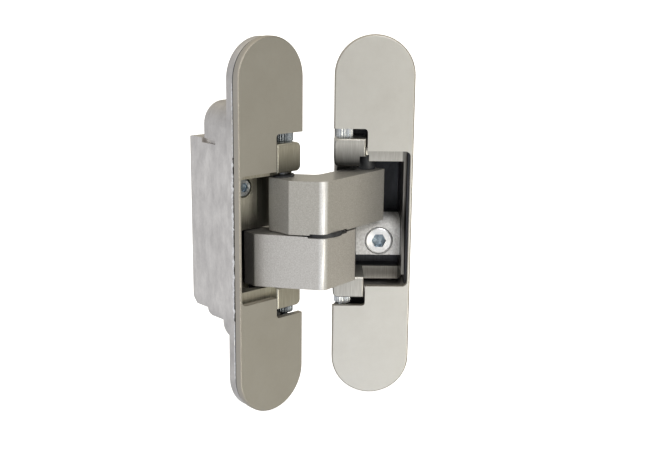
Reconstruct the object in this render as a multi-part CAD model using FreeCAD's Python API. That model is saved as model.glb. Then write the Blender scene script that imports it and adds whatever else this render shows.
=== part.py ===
import FreeCAD, Part
import math
import os

V = FreeCAD.Vector
os.makedirs("parts", exist_ok=True)

# All lengths are in millimetres. Each leaf is drawn in its own leaf frame: x runs towards the
# knuckle side, y runs from the cover face into the wood, z runs up. The left leaf's frame is the
# row frame moved so that the origin is in the plane of its flange's back.

# Leaf sizes
LEAF_H = 110.0
LEAF_W = 23.6
COVER_T = 2.0
FLANGE_BACK = 5.4
CASE_DEPTH = 24.6
CASE_ROUND = 1.8
CASE_HEEL = 3.1
BOX_INSET = 0.5
TOP_WALL = 4.2
WALL = 0.9
FLOOR_T = 0.9
COVER_GAP = 0.8
TOP_BOSS = (10.5, 7.0, 6.5)
LOW_BOSS = (3.2, 7.3, 3.0)
TIP_BOSS = (9.0, 12.7, 6.0)
TIP_ROUND = 5.0
SIDE_SLOT = (7.0, 6.4, 1.4, 1.2)
REST_OPEN = 138.0

# Cover cut-outs
WINDOW_RIM = 0.8
WINDOW_ROUND = 1.6
NOTCH_IN = 1.8
NOTCH_TOP = 27.6
NOTCH_BOTTOM = -26.8
WINDOW_BOTTOM = -20.6
WINDOW_TOP_LEFT = 16.9
WINDOW_TOP_RIGHT = 21.0
NOTCH_DEPTH = 10.2
NOTCH_RELIEF = 1.7

# Fixing screws, two in each leaf
FIX_Z = 45.0
FIX_R = 2.25
FIX_HEAD_R = 4.4

# Linkage: fixed pivot and elbow of each leaf, in leaf x and y, with the hinge at REST_OPEN
PIVOT_L = (7.16, 3.8)
PIVOT_R = (9.2, 2.2)
ELBOW_L = (14.0, -5.5)
ELBOW_R = (15.44, -8.96)
CLOSE_L = 97.6
CLOSE_R = 101.2
FLAT_PART = (180.0 - REST_OPEN) / REST_OPEN

# Arms
MID_Z = -1.2
ARM_GAP = 0.5
ARM_H = 15.65
CORNER = (9.6, -11.8)
FACE_L_DEG = 52.3
FACE_R_DEG = 51.1
UPPER_FRONT_L = 10.35
UPPER_FRONT_R = 29.5
LOWER_FRONT_L = 20.8
LOWER_FRONT_R = 15.0
LOWER_TAPER = 0.8
LEG_T = 9.0
INNER_ELBOW = (16.0, -1.65)
KNUCKLE_R = 3.5
KNUCKLE_HEEL = ((-4.56, 0.7), (-2.16, 3.8))
LOWER_TAIL = (0.3, 5.9)
LOWER_TAIL_W = 6.8
LOWER_TAIL_BACK = 7.0
CORNER_FILLET = 2.0
ELBOW_RELIEF_R = 7.6
ELBOW_RELIEF = 0.4
WASHER_R = 6.3

# Pins, bushes and rollers
RUN = 0.05
CENTRE_PIN_R = 2.3
CENTRE_BUSH_R = 3.0
CENTRE_REACH = 12.0
PIVOT_PIN_R = 1.8
PIVOT_BUSH_R = 2.5
PIVOT_DEPTH = 12.5
PIVOT_PIN_STOP = 3.4
SLIDE_PIN_R = 1.5
SLIDE_PIN_IN = 7.0
ROLLER_R = 2.6
ROLLER_H = 2.7
SLOT_CLEAR = 0.1
SLOT_DEPTH = 3.1
UPPER_SLIDE = (26.0, 4.5)
LOWER_SLIDE = (3.7, 3.05)

# Carriages
HEIGHT_TRAVEL = 1.5
SIDE_TRAVEL = 1.0
SLIDE_GAP = 0.2
BLOCK_FACE = 0.1
BLOCK_BACK = 9.0
BLOCK_GAP = 0.4
BLOCK_INSET_LEFT = 0.7
BLOCK_INSET_RIGHT = 0.1
BLOCK_TOP = 24.7
BLOCK_BOTTOM = -24.2
BLOCK_LIFT = 1.0
BLOCK_FILLET = 1.6
BLOCK_EDGE = 0.6
BLOCK_STEP = (1.9, 3.1)
PLATE_FACE = COVER_T + SIDE_TRAVEL + 0.3
LOW_FACE_RIGHT = 13.0
LOW_JOIN_RIGHT = 6.8
PLATE_T = 4.1
PLATE_GAP = 0.6
PLATE_LIFT_RIGHT = 2.2
CARRIAGE_ROUND = 1.5
RAIL_T = 0.9
FILLER_FACE_LEFT = 9.2
FILLER_FACE_RIGHT = 19.0
WEB_X0 = 6.5
WEB_FACE = 13.6

# Adjusting and clamping screws
HEIGHT_SCREW_INSET = 3.3
HEIGHT_SCREW_Y = 4.8
HEIGHT_SCREW_R = 1.2
HEIGHT_COLLAR_R = 2.7
HEIGHT_SCREW_IN = 3.0
HEIGHT_SCREW_OUT = 2.4
ADJUST_X = -3.0
ADJUST_Z = 11.6
ADJUST_HEAD_R = 2.6
ADJUST_HEAD_T = 1.5
ADJUST_HEX_AF = 2.5
ADJUST_SINK = 1.2
ADJUST_CLEAR = 0.4
ADJUST_SHANK_R = 1.6
ADJUST_SHANK = 8.0
CLAMP_X1 = 4.4
CLAMP_Z0 = -13.0
CLAMP_FACE = 9.2
CLAMP_SHOULDER = 4.2
CLAMP_SCREW_X = -2.7
CLAMP_SCREW_Z = -8.6
CLAMP_HEAD_R = 4.1
CLAMP_HEAD_T = 2.6
CLAMP_HEAD_SINK = 0.3
CLAMP_SHANK_R = 2.5
CLAMP_HOLD = 1.4
HEX_AF = 4.0

ARM_TOP = MID_Z + ARM_GAP / 2 + ARM_H
ARM_BOTTOM = MID_Z - ARM_GAP / 2 - ARM_H
PLATE_TOP_Z = ARM_TOP + PLATE_GAP
PLATE_BOTTOM_Z = ARM_BOTTOM - PLATE_GAP
RIGHT_PLATE_Z = PLATE_TOP_Z + PLATE_LIFT_RIGHT
POCKET_TOP = PLATE_TOP_Z + PLATE_T + max(HEIGHT_TRAVEL, PLATE_LIFT_RIGHT) + SLIDE_GAP
POCKET_BOTTOM = PLATE_BOTTOM_Z - PLATE_T - HEIGHT_TRAVEL - SLIDE_GAP
BOX_TOP = POCKET_TOP + TOP_WALL
BOX_BOTTOM = POCKET_BOTTOM - FLOOR_T
BOX_HALF_W = LEAF_W / 2 - BOX_INSET
WINDOW_OUT = WINDOW_RIM - LEAF_W / 2
CARRIAGE_X1 = BOX_HALF_W - WALL - SLIDE_GAP
CARRIAGE_X0 = -CARRIAGE_X1
CARRIAGE_BACK = CASE_DEPTH - FLOOR_T - SIDE_TRAVEL - SLIDE_GAP
BLOCK_X0 = NOTCH_IN + BLOCK_GAP
HEIGHT_SCREW_X = LEAF_W / 2 - HEIGHT_SCREW_INSET
CLAMP_X0 = CARRIAGE_X0 + RAIL_T + SLIDE_GAP / 2
CLAMP_Z1 = MID_Z - SLIDE_GAP
TURN = -(180.0 - REST_OPEN)


def turned(p, deg):
    a = math.radians(deg)
    return (p[0] * math.cos(a) - p[1] * math.sin(a), p[0] * math.sin(a) + p[1] * math.cos(a))


def plus(p, q, k=1.0):
    return (p[0] + k * q[0], p[1] + k * q[1])


def about(p, c, deg):
    return plus(c, turned(plus(p, c, -1.0), deg))


# The right leaf's frame is mirrored in x, turned by TURN and set so that both elbows meet.
RIGHT_AT = plus(ELBOW_L, turned((-ELBOW_R[0], ELBOW_R[1]), TURN), -1.0)


def from_right(p):
    return plus(RIGHT_AT, turned((-p[0], p[1]), TURN))


def place_left(shape):
    s = shape.copy()
    s.translate(V(0, -FLANGE_BACK, 0))
    return s


def place_right(shape):
    s = shape.mirror(V(0, 0, 0), V(1, 0, 0))
    s.rotate(V(0, 0, 0), V(0, 0, 1), TURN)
    s.translate(V(RIGHT_AT[0], RIGHT_AT[1] - FLANGE_BACK, 0))
    return s


def box(x0, x1, y0, y1, z0, z1):
    return Part.makeBox(x1 - x0, y1 - y0, z1 - z0, V(x0, y0, z0))


def rod(r, at, z0, z1):
    return Part.makeCylinder(r, z1 - z0, V(at[0], at[1], z0))


def peg(r, x, z, y0, y1):
    return Part.makeCylinder(r, y1 - y0, V(x, y0, z), V(0, 1, 0))


def prism(points, z0, z1):
    wire = Part.makePolygon([V(p[0], p[1], z0) for p in points + points[:1]])
    return Part.Face(wire).extrude(V(0, 0, z1 - z0))


def stadium(half_w, half_h, y0, y1):
    reach = half_h - half_w
    body = box(-half_w, half_w, y0, y1, -reach, reach)
    for z in (-reach, reach):
        body = body.fuse(peg(half_w, 0, z, y0, y1))
    return body.removeSplitter()


def edges_along(shape, axis, test):
    """Straight edges along one axis whose middle passes the test."""
    out = []
    for e in shape.Edges:
        if e.Curve.TypeId != "Part::GeomLine":
            continue
        d = e.Vertexes[-1].Point - e.Vertexes[0].Point
        size = d.Length
        if size > 0 and abs(abs(getattr(d, axis)) / size - 1) < 1e-6:
            if test(e.CenterOfMass):
                out.append(e)
    return out


def cut_corners(x0, x1, y0, y1, z0, z1, r):
    """A box whose four edges along y are rounded, for windows and pockets."""
    b = box(x0, x1, y0, y1, z0, z1)
    return b.makeFillet(r, edges_along(b, "y", lambda c: True))


def make_cover(window_top):
    half_w = LEAF_W / 2
    body = stadium(half_w, LEAF_H / 2, 0, COVER_T)
    rim = [e for e in body.Edges if abs(e.CenterOfMass.y) < 1e-6]
    body = body.makeFillet(0.5, rim)
    window = cut_corners(WINDOW_OUT, NOTCH_IN + 3, -1, 9, WINDOW_BOTTOM, window_top, WINDOW_ROUND)
    notch = cut_corners(NOTCH_IN, half_w + 4, -1, 9, NOTCH_BOTTOM, NOTCH_TOP, 1.0)
    return body.cut(window).cut(notch)


def screw_hole(z):
    hole = peg(FIX_R, 0, z, COVER_T - 1, FLANGE_BACK + 1)
    cone = Part.makeCone(FIX_HEAD_R, FIX_R, FIX_HEAD_R - FIX_R, V(0, COVER_T, z), V(0, 1, 0))
    return hole.fuse(cone)


def boss(z0, z1, depth, r, back_r):
    """A rounded lump cast above or below the box, over the height screw."""
    body = box(-BOX_HALF_W, BOX_HALF_W, FLANGE_BACK - 1, depth, z0, z1)
    tip = z1 if abs(z1) > abs(z0) else z0
    body = body.makeFillet(r, edges_along(body, "y", lambda c: abs(c.z - tip) < 0.01))
    back = [e for e in body.Edges if abs(e.CenterOfMass.y - depth) < 0.01 and abs(e.CenterOfMass.z - tip) < 0.01]
    return body.makeFillet(back_r, back)


def heel(depth, bottom, size):
    """Wedge cut from the back of a lower end, where the castings slope up."""
    corners = [(depth + 1, bottom - 1), (depth - size - 1, bottom - 1), (depth + 1, bottom + size + 1)]
    wire = Part.makePolygon([V(-LEAF_W, y, z) for y, z in corners + corners[:1]])
    return Part.Face(wire).extrude(V(2 * LEAF_W, 0, 0))


def make_case(side_travel):
    body = stadium(LEAF_W / 2 - 0.2, LEAF_H / 2 - 0.2, COVER_T, FLANGE_BACK)
    shell = box(-BOX_HALF_W, BOX_HALF_W, FLANGE_BACK - 1, CASE_DEPTH, BOX_BOTTOM, BOX_TOP)
    shell = shell.cut(heel(CASE_DEPTH, BOX_BOTTOM, CASE_HEEL))
    rounds = edges_along(shell, "z", lambda c: c.y > CASE_DEPTH - 1)
    rounds += edges_along(shell, "x", lambda c: c.y > CASE_DEPTH - 1 and c.z > 0)
    shell = shell.makeFillet(CASE_ROUND, rounds)
    body = body.fuse(shell)
    step = CASE_DEPTH - TOP_BOSS[1]
    body = body.fuse(boss(POCKET_TOP, BOX_TOP + TOP_BOSS[0], step, TOP_BOSS[2], CASE_ROUND))
    body = body.fuse(boss(BOX_BOTTOM - LOW_BOSS[0], POCKET_BOTTOM, CASE_DEPTH - LOW_BOSS[1], LOW_BOSS[2], CASE_ROUND))
    body = body.fuse(boss(BOX_BOTTOM - TIP_BOSS[0], POCKET_BOTTOM, CASE_DEPTH - TIP_BOSS[1], TIP_BOSS[2], TIP_ROUND))
    body = body.removeSplitter()
    inner = BOX_HALF_W - WALL
    pocket = cut_corners(-inner, inner, -1, CASE_DEPTH - FLOOR_T, POCKET_BOTTOM, POCKET_TOP, CARRIAGE_ROUND)
    pocket = pocket.cut(heel(CASE_DEPTH - FLOOR_T, POCKET_BOTTOM, CASE_HEEL - WALL / 2))
    notch = box(NOTCH_IN, LEAF_W, -1, NOTCH_DEPTH, NOTCH_BOTTOM - NOTCH_RELIEF, NOTCH_TOP + NOTCH_RELIEF)
    mouth = box(NOTCH_IN, LEAF_W, -1, WEB_FACE, POCKET_BOTTOM, POCKET_TOP)
    body = body.cut(pocket).cut(notch).cut(mouth)
    shadow = box(-LEAF_W, LEAF_W, COVER_T - 1, COVER_T + COVER_GAP, BOX_BOTTOM - 1, WINDOW_TOP_RIGHT + 1)
    body = body.cut(shadow)
    far, long, high, deep = SIDE_SLOT
    for x0 in (-BOX_HALF_W - 1, BOX_HALF_W - deep):
        body = body.cut(box(x0, x0 + 1 + deep, CASE_DEPTH - far - long, CASE_DEPTH - far, BOX_TOP - high, BOX_TOP))
    for z in (-FIX_Z, FIX_Z):
        body = body.cut(screw_hole(z))
    guide = HEIGHT_SCREW_R + RUN
    reach = NOTCH_RELIEF + HEIGHT_SCREW_OUT + HEIGHT_TRAVEL + SLIDE_GAP
    for z0, z1 in ((NOTCH_TOP, NOTCH_TOP + reach), (NOTCH_BOTTOM - reach, NOTCH_BOTTOM)):
        for shift in (-side_travel, side_travel):
            body = body.cut(rod(guide, (HEIGHT_SCREW_X, HEIGHT_SCREW_Y + shift), z0, z1))
        if side_travel:
            body = body.cut(box(HEIGHT_SCREW_X - guide, HEIGHT_SCREW_X + guide, HEIGHT_SCREW_Y - side_travel,
                                HEIGHT_SCREW_Y + side_travel, z0, z1))
    return body


def track(pivot, elbow, close, swing, pin):
    """Where a slide pin goes in its leaf, from closed to flat open."""
    out = []
    steps = 16
    for i in range(steps + 1):
        part = 1.0 - i * (1.0 + FLAT_PART) / steps
        at = about(elbow, pivot, -close * part)
        out.append(plus(at, turned(plus(pin, elbow, -1.0), -swing * part)))
    return out


def slot(points, z0, z1):
    wire = Part.makePolygon([V(p[0], p[1], z0) for p in points])
    outline = wire.makeOffset2D(ROLLER_R + SLOT_CLEAR, 0, False, False, False)
    return Part.Face(outline).extrude(V(0, 0, z1 - z0))


def rounded_plate(face, z0, z1):
    """One end plate of a carriage, with the corners that run in the case's pocket rounded."""
    plate = box(CARRIAGE_X0, CARRIAGE_X1, face, CARRIAGE_BACK, z0, z1)
    tip = z1 if z1 > 0 else z0
    plate = plate.makeFillet(CARRIAGE_ROUND, edges_along(plate, "y", lambda c: abs(c.z - tip) < 0.01))
    return plate if z1 > 0 else plate.cut(heel(CARRIAGE_BACK, z0, CASE_HEEL - WALL))


def knuckle_block(inset, z0, z1):
    x1 = LEAF_W / 2 - inset
    block = box(BLOCK_X0, x1, BLOCK_FACE, BLOCK_BACK, z0, z1)
    block = block.makeFillet(BLOCK_FILLET, edges_along(block, "y", lambda c: c.x > x1 - 0.1))
    return block.makeFillet(BLOCK_EDGE, edges_along(block, "z", lambda c: c.y < BLOCK_FACE + 0.1))


def screw_holes(body):
    at = (HEIGHT_SCREW_X, HEIGHT_SCREW_Y)
    body = body.cut(rod(HEIGHT_SCREW_R, at, BLOCK_TOP - HEIGHT_SCREW_IN, BLOCK_TOP + 1))
    return body.cut(rod(HEIGHT_SCREW_R, at, BLOCK_BOTTOM - 1, BLOCK_BOTTOM + HEIGHT_SCREW_IN))


def make_left_carriage():
    """Die-cast slider: two end plates with knuckle blocks, a filler behind the pivoted arm, a web."""
    body = rounded_plate(PLATE_FACE, PLATE_TOP_Z, PLATE_TOP_Z + PLATE_T)
    body = body.fuse(rounded_plate(PLATE_FACE, PLATE_BOTTOM_Z - PLATE_T, PLATE_BOTTOM_Z))
    for z0, z1 in ((PLATE_TOP_Z + BLOCK_LIFT, BLOCK_TOP), (BLOCK_BOTTOM, PLATE_BOTTOM_Z)):
        body = body.fuse(knuckle_block(BLOCK_INSET_LEFT, z0, z1))
    body = body.fuse(box(CARRIAGE_X0, CARRIAGE_X1, FILLER_FACE_LEFT, CARRIAGE_BACK, MID_Z + SLIDE_GAP, PLATE_TOP_Z))
    body = body.fuse(box(WEB_X0, CARRIAGE_X1, WEB_FACE, CARRIAGE_BACK, PLATE_BOTTOM_Z, MID_Z + SLIDE_GAP))
    body = body.removeSplitter()
    body = body.cut(rod(PIVOT_PIN_R, PIVOT_L, PLATE_TOP_Z - 1, BLOCK_TOP - PIVOT_PIN_STOP))
    body = body.cut(slot(LEFT_TRACK, PLATE_BOTTOM_Z - SLOT_DEPTH, PLATE_BOTTOM_Z + 1))
    return screw_holes(body)


def make_right_carriage():
    """The same slider the other way up, with a side rail, a back wall for the clamp block and a higher top plate."""
    body = rounded_plate(PLATE_FACE, RIGHT_PLATE_Z, RIGHT_PLATE_Z + PLATE_T)
    low = rounded_plate(LOW_JOIN_RIGHT, PLATE_BOTTOM_Z - PLATE_T, PLATE_BOTTOM_Z)
    body = body.fuse(low.cut(box(-LEAF_W, BLOCK_X0, 0, LOW_FACE_RIGHT, BOX_BOTTOM, 0)))
    block = knuckle_block(BLOCK_INSET_RIGHT, PLATE_TOP_Z + BLOCK_LIFT, BLOCK_TOP)
    body = body.fuse(block).fuse(knuckle_block(BLOCK_INSET_RIGHT, BLOCK_BOTTOM, PLATE_BOTTOM_Z))
    body = body.fuse(box(CARRIAGE_X0, CARRIAGE_X1, FILLER_FACE_RIGHT, CARRIAGE_BACK, PLATE_BOTTOM_Z, CLAMP_Z1))
    body = body.fuse(box(WEB_X0, CARRIAGE_X1, WEB_FACE, CARRIAGE_BACK, PLATE_BOTTOM_Z, RIGHT_PLATE_Z))
    body = body.fuse(box(CARRIAGE_X0, CARRIAGE_X0 + RAIL_T, PLATE_FACE, CARRIAGE_BACK, PLATE_BOTTOM_Z, RIGHT_PLATE_Z))
    body = body.removeSplitter()
    step_x = BLOCK_X0 + BLOCK_STEP[0]
    step_z = PLATE_TOP_Z + BLOCK_LIFT + BLOCK_STEP[1]
    body = body.cut(box(BLOCK_X0 - 1, step_x, BLOCK_FACE - 1, BLOCK_BACK, PLATE_TOP_Z, step_z))
    body = body.cut(rod(PIVOT_PIN_R, PIVOT_R, BLOCK_BOTTOM + PIVOT_PIN_STOP, PLATE_BOTTOM_Z + 1))
    body = body.cut(slot(RIGHT_TRACK, PLATE_TOP_Z, RIGHT_PLATE_Z + SLOT_DEPTH))
    hold = FILLER_FACE_RIGHT + CLAMP_HOLD
    body = body.cut(peg(CLAMP_SHANK_R, CLAMP_SCREW_X, CLAMP_SCREW_Z, FILLER_FACE_RIGHT - 1, hold))
    return screw_holes(body)


def make_height_screw(upper):
    """Threaded shank through the case and carriage, with the broad collar that shows in the notch."""
    at = (HEIGHT_SCREW_X, HEIGHT_SCREW_Y)
    tip = NOTCH_RELIEF + HEIGHT_SCREW_OUT
    if upper:
        shank = rod(HEIGHT_SCREW_R, at, BLOCK_TOP - HEIGHT_SCREW_IN, NOTCH_TOP + tip)
        return shank.fuse(rod(HEIGHT_COLLAR_R, at, BLOCK_TOP, NOTCH_TOP - RUN)).removeSplitter()
    shank = rod(HEIGHT_SCREW_R, at, NOTCH_BOTTOM - tip, BLOCK_BOTTOM + HEIGHT_SCREW_IN)
    return shank.fuse(rod(HEIGHT_COLLAR_R, at, NOTCH_BOTTOM + RUN, BLOCK_BOTTOM)).removeSplitter()


def hexagon(x, z, af, y0, y1):
    r = af / math.sqrt(3.0)
    pts = [V(x + r * math.cos(math.radians(60 * i)), y0, z + r * math.sin(math.radians(60 * i))) for i in range(7)]
    return Part.Face(Part.makePolygon(pts)).extrude(V(0, y1 - y0, 0))


def socket_screw(x, z, face, head_r, head_t, shank_r, shank, af):
    head = peg(head_r, x, z, face, face + head_t)
    head = head.makeFillet(0.4, [e for e in head.Edges if abs(e.CenterOfMass.y - face) < 0.01 and e.Closed])
    body = head.fuse(peg(shank_r, x, z, face + head_t - 0.5, face + head_t + shank))
    return body.removeSplitter().cut(hexagon(x, z, af, face - 1, face + head_t * 0.65))


# Directions of the arms' two outer faces, from the corner towards each leaf, in the left leaf's frame.
TO_LEFT = (-math.cos(math.radians(FACE_L_DEG)), math.sin(math.radians(FACE_L_DEG)))
to_right_leaf = (-math.cos(math.radians(FACE_R_DEG)), math.sin(math.radians(FACE_R_DEG)))
TO_RIGHT = turned((-to_right_leaf[0], to_right_leaf[1]), TURN)
IN_LEFT = (TO_LEFT[1], -TO_LEFT[0])
IN_RIGHT = (-TO_RIGHT[1], TO_RIGHT[0])
RIGHT_PIVOT_ROW = from_right(PIVOT_R)


def on_left_face(s, inset):
    return plus(plus(CORNER, TO_LEFT, s), IN_LEFT, inset)


def on_right_face(s, inset):
    return plus(plus(CORNER, TO_RIGHT, s), IN_RIGHT, inset)


UPPER_SLIDE_ROW = on_right_face(*UPPER_SLIDE)
LOWER_END = on_left_face(LOWER_FRONT_L, LOWER_TAPER)
LOWER_SLIDE_ROW = plus(LOWER_END, LOWER_SLIDE)


def into_right(p):
    q = turned(plus(p, RIGHT_AT, -1.0), -TURN)
    return (-q[0], q[1])


def knuckle_sides(pivot):
    d = plus(pivot, ELBOW_L, -1.0)
    size = math.hypot(d[0], d[1])
    side = (-d[1] / size, d[0] / size)
    return plus(pivot, side, KNUCKLE_R), plus(pivot, side, -KNUCKLE_R)


def round_arm(body, sharp, fillet):
    near = [e for e in edges_along(body, "z", lambda c: math.hypot(c.x - sharp[0], c.y - sharp[1]) < 0.05)]
    return body.makeFillet(fillet, near)


def make_arm(outline, pivot, z0, z1, relief_z, rounds):
    body = prism(outline, z0, z1)
    for point, r in rounds:
        body = round_arm(body, point, r)
    body = body.fuse(rod(KNUCKLE_R, pivot, z0, z1)).removeSplitter()
    return body.cut(rod(ELBOW_RELIEF_R, ELBOW_L, relief_z - ELBOW_RELIEF, relief_z + ELBOW_RELIEF))


def make_upper_arm():
    z0 = MID_Z + ARM_GAP / 2
    a = on_left_face(UPPER_FRONT_L, 0)
    knuckle = max(knuckle_sides(PIVOT_L))
    e1 = on_right_face(UPPER_FRONT_R, 0)
    e2 = on_right_face(UPPER_FRONT_R, LEG_T)
    heel = plus(PIVOT_L, KNUCKLE_HEEL[0])
    back = plus(PIVOT_L, KNUCKLE_HEEL[1])
    outline = [CORNER, a, heel, back, PIVOT_L, knuckle, INNER_ELBOW, e2, e1]
    rounds = [(CORNER, CORNER_FILLET), (a, 0.8), (heel, 0.6), (e1, 0.8), (e2, 2.5), (INNER_ELBOW, 3.0)]
    body = make_arm(outline, PIVOT_L, z0, ARM_TOP, z0, rounds)
    body = body.cut(rod(CENTRE_PIN_R, ELBOW_L, z0 - 1, z0 + CENTRE_REACH))
    body = body.cut(rod(PIVOT_BUSH_R, PIVOT_L, ARM_TOP - PIVOT_DEPTH, ARM_TOP + 1))
    return body.cut(rod(SLIDE_PIN_R, UPPER_SLIDE_ROW, ARM_TOP - SLIDE_PIN_IN, ARM_TOP + 1))


def make_lower_arm():
    z1 = MID_Z - ARM_GAP / 2
    d = on_right_face(LOWER_FRONT_R, 0)
    k1, k2 = knuckle_sides(RIGHT_PIVOT_ROW)
    if plus(k1, d, -1.0)[1] > plus(k2, d, -1.0)[1]:
        k1, k2 = k2, k1
    e1 = LOWER_END
    e2 = on_left_face(LOWER_FRONT_L - LOWER_TAIL_BACK, LEG_T)
    t1 = plus(e1, LOWER_TAIL)
    t2 = plus(t1, (LOWER_TAIL_W, 0))
    outline = [CORNER, d, k1, RIGHT_PIVOT_ROW, k2, INNER_ELBOW, e2, t2, t1, e1]
    rounds = [(CORNER, CORNER_FILLET), (d, 0.8), (e1, 0.8), (t1, 1.5), (t2, 1.5), (INNER_ELBOW, 3.0)]
    body = make_arm(outline, RIGHT_PIVOT_ROW, ARM_BOTTOM, z1, z1, rounds)
    body = body.cut(rod(CENTRE_BUSH_R, ELBOW_L, z1 - CENTRE_REACH, z1 + 1))
    body = body.cut(rod(PIVOT_BUSH_R, RIGHT_PIVOT_ROW, ARM_BOTTOM - 1, ARM_BOTTOM + PIVOT_DEPTH))
    return body.cut(rod(SLIDE_PIN_R, LOWER_SLIDE_ROW, ARM_BOTTOM - 1, ARM_BOTTOM + SLIDE_PIN_IN))


def ring(r_out, r_in, at, z0, z1):
    return rod(r_out, at, z0, z1).cut(rod(r_in, at, z0 - 1, z1 + 1))


LEFT_TRACK = track(PIVOT_L, ELBOW_L, CLOSE_L, REST_OPEN - CLOSE_R, LOWER_SLIDE_ROW)
RIGHT_TRACK = track(PIVOT_R, ELBOW_R, CLOSE_R, REST_OPEN - CLOSE_L, into_right(UPPER_SLIDE_ROW))

nodes = {}

# Left leaf: case, cover and the carriage with its pin and screws
nodes["left_case"] = place_left(make_case(0.0))
nodes["left_cover"] = place_left(make_cover(WINDOW_TOP_LEFT))
left = make_left_carriage()
seat_y = FILLER_FACE_LEFT + ADJUST_SINK
left = left.cut(peg(ADJUST_HEAD_R + ADJUST_CLEAR, ADJUST_X, ADJUST_Z, FILLER_FACE_LEFT - 1, seat_y))
left = left.cut(peg(ADJUST_SHANK_R, ADJUST_X, ADJUST_Z, FILLER_FACE_LEFT, seat_y + ADJUST_SHANK))
nodes["left_carriage"] = place_left(left)
adjust = socket_screw(ADJUST_X, ADJUST_Z, seat_y - ADJUST_HEAD_T, ADJUST_HEAD_R, ADJUST_HEAD_T, ADJUST_SHANK_R,
                      ADJUST_SHANK, ADJUST_HEX_AF)
nodes["left_adjusting_screw"] = place_left(adjust)

# Right leaf: the same parts the other way round, with a clamp block over the filler
nodes["right_case"] = place_right(make_case(SIDE_TRAVEL))
nodes["right_cover"] = place_right(make_cover(WINDOW_TOP_RIGHT))
nodes["right_carriage"] = place_right(make_right_carriage())
clamp = box(CLAMP_X0, CLAMP_X1, CLAMP_FACE, FILLER_FACE_RIGHT, CLAMP_Z0, CLAMP_Z1)
shoulder = edges_along(clamp, "x", lambda c: c.y < CLAMP_FACE + 0.1 and c.z > CLAMP_Z1 - 0.1)
clamp = clamp.makeFillet(CLAMP_SHOULDER, shoulder)
head_face = CLAMP_FACE + CLAMP_HEAD_SINK
head_end = head_face + CLAMP_HEAD_T
clear = CLAMP_HEAD_SINK
clamp = clamp.cut(peg(CLAMP_HEAD_R + clear, CLAMP_SCREW_X, CLAMP_SCREW_Z, CLAMP_FACE - 1, head_end))
clamp = clamp.cut(peg(CLAMP_SHANK_R + clear, CLAMP_SCREW_X, CLAMP_SCREW_Z, CLAMP_FACE, FILLER_FACE_RIGHT + 1))
nodes["right_clamp_block"] = place_right(clamp)
shank = FILLER_FACE_RIGHT + CLAMP_HOLD - head_end
bolt = socket_screw(CLAMP_SCREW_X, CLAMP_SCREW_Z, head_face, CLAMP_HEAD_R, CLAMP_HEAD_T, CLAMP_SHANK_R, shank, HEX_AF)
nodes["right_clamp_screw"] = place_right(bolt)

for side, place in (("left", place_left), ("right", place_right)):
    nodes[side + "_upper_height_screw"] = place(make_height_screw(True))
    nodes[side + "_lower_height_screw"] = place(make_height_screw(False))

# Pivot pins: one hangs from the left carriage's top block, one stands on the right carriage's bottom block
pin_end = PIVOT_DEPTH - 0.3
nodes["left_pivot_pin"] = place_left(rod(PIVOT_PIN_R, PIVOT_L, ARM_TOP - pin_end, BLOCK_TOP - PIVOT_PIN_STOP))
nodes["right_pivot_pin"] = place_right(rod(PIVOT_PIN_R, PIVOT_R, BLOCK_BOTTOM + PIVOT_PIN_STOP, ARM_BOTTOM + pin_end))
nodes["left_thrust_washer"] = place_left(ring(KNUCKLE_R, PIVOT_PIN_R + RUN, PIVOT_L, ARM_TOP, ARM_TOP + 0.5))
low = ring(KNUCKLE_R, PIVOT_PIN_R + RUN, PIVOT_R, ARM_BOTTOM - 0.5, ARM_BOTTOM)
nodes["right_thrust_washer"] = place_right(low)

# Upper arm with its bush, the centre pin pressed into it and its slide pin and roller
z_up = MID_Z + ARM_GAP / 2
z_low = MID_Z - ARM_GAP / 2
nodes["upper_arm"] = place_left(make_upper_arm())
bush = ring(PIVOT_BUSH_R, PIVOT_PIN_R + RUN, PIVOT_L, ARM_TOP - PIVOT_DEPTH, ARM_TOP)
nodes["upper_pivot_bush"] = place_left(bush)
nodes["centre_pin"] = place_left(rod(CENTRE_PIN_R, ELBOW_L, z_low - CENTRE_REACH + 0.3, z_up + CENTRE_REACH))
roller_top = RIGHT_PLATE_Z + SLOT_DEPTH - SLIDE_GAP
nodes["upper_slide_pin"] = place_left(rod(SLIDE_PIN_R, UPPER_SLIDE_ROW, ARM_TOP - SLIDE_PIN_IN, roller_top))
roller = ring(ROLLER_R, SLIDE_PIN_R, UPPER_SLIDE_ROW, ARM_TOP + SLIDE_GAP, roller_top)
nodes["upper_slide_roller"] = place_left(roller)

# Lower arm with its bushes and washer, and its slide pin and roller
nodes["lower_arm"] = place_left(make_lower_arm())
bush = ring(PIVOT_BUSH_R, PIVOT_PIN_R + RUN, RIGHT_PIVOT_ROW, ARM_BOTTOM, ARM_BOTTOM + PIVOT_DEPTH)
nodes["lower_pivot_bush"] = place_left(bush)
bush = ring(CENTRE_BUSH_R, CENTRE_PIN_R + RUN, ELBOW_L, z_low - CENTRE_REACH, z_low - ELBOW_RELIEF)
nodes["centre_bush"] = place_left(bush)
washer = ring(WASHER_R, CENTRE_PIN_R + RUN, ELBOW_L, z_low - ELBOW_RELIEF, z_up + ELBOW_RELIEF - RUN)
nodes["centre_washer"] = place_left(washer)
roller_low = PLATE_BOTTOM_Z - SLOT_DEPTH + SLIDE_GAP
nodes["lower_slide_pin"] = place_left(rod(SLIDE_PIN_R, LOWER_SLIDE_ROW, roller_low, ARM_BOTTOM + SLIDE_PIN_IN))
roller = ring(ROLLER_R, SLIDE_PIN_R, LOWER_SLIDE_ROW, roller_low, roller_low + ROLLER_H)
nodes["lower_slide_roller"] = place_left(roller)

for name, shape in nodes.items():
    shape.exportStep("parts/" + name + ".step")
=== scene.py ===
import math
import random

import bpy
import bmesh
from mathutils import Matrix, Vector


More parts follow.
